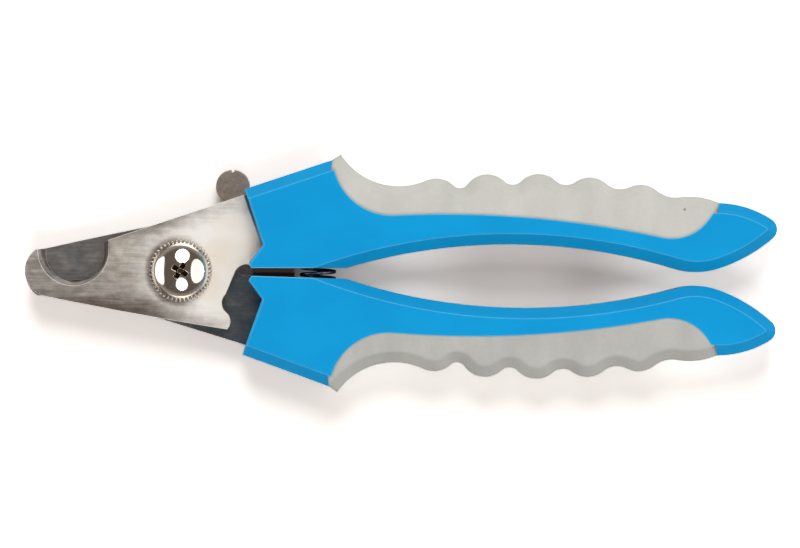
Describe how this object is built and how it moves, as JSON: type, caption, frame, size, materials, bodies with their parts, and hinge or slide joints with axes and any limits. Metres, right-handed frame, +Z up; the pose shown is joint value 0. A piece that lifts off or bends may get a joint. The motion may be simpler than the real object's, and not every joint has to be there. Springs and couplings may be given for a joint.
{
  "type": "pet nail clipper",
  "caption": "Plier-type pet nail clipper: two crossing steel blades with a half-moon notch on a screw pivot, scalloped soft-grip handles, coil spring and swing-away guard.",
  "frame": {"origin": "middle of the underside of the bounding box, on the face the clipper lies on", "axes": "+X from the jaws towards the handle tips, +Y towards the upper handle, +Z up along the pivot"},
  "size_m": [0.1654, 0.0522, 0.012],
  "materials": {
    "blade_steel": "brushed",
    "guard_steel": "dull, dark",
    "blue_plastic": "satin",
    "grey_grip": "soft, matt",
    "bright_screw": "polished",
    "washer_steel": "plated",
    "black_spring": "black, oiled"
  },
  "bodies": {
    "upper_side": {"front_blade": "blade_steel", "upper_handle": "blue_plastic", "upper_grip": "grey_grip", "pivot_screw": "bright_screw", "tooth_washer": "washer_steel", "pivot_nut": "washer_steel", "guard_washer": "washer_steel", "handle_spring": "black_spring"},
    "lower_side": {"rear_blade": "blade_steel", "lower_handle": "blue_plastic", "lower_grip": "grey_grip"},
    "guard": {"nail_guard": "guard_steel"}
  },
  "joints": [
    {"name": "handle_pivot", "type": "hinge", "parent": "upper_side", "child": "lower_side", "pos_m": [-0.04835, 0, 0.006], "axis": [0, 0, -1], "range_deg": [-1.3, 34], "deforming": ["handle_spring"]},
    {"name": "guard_pivot", "type": "hinge", "parent": "upper_side", "child": "guard", "pos_m": [-0.04835, 0, 0.003], "axis": [0, 0, 1], "range_deg": [0, 40]}
  ]
}
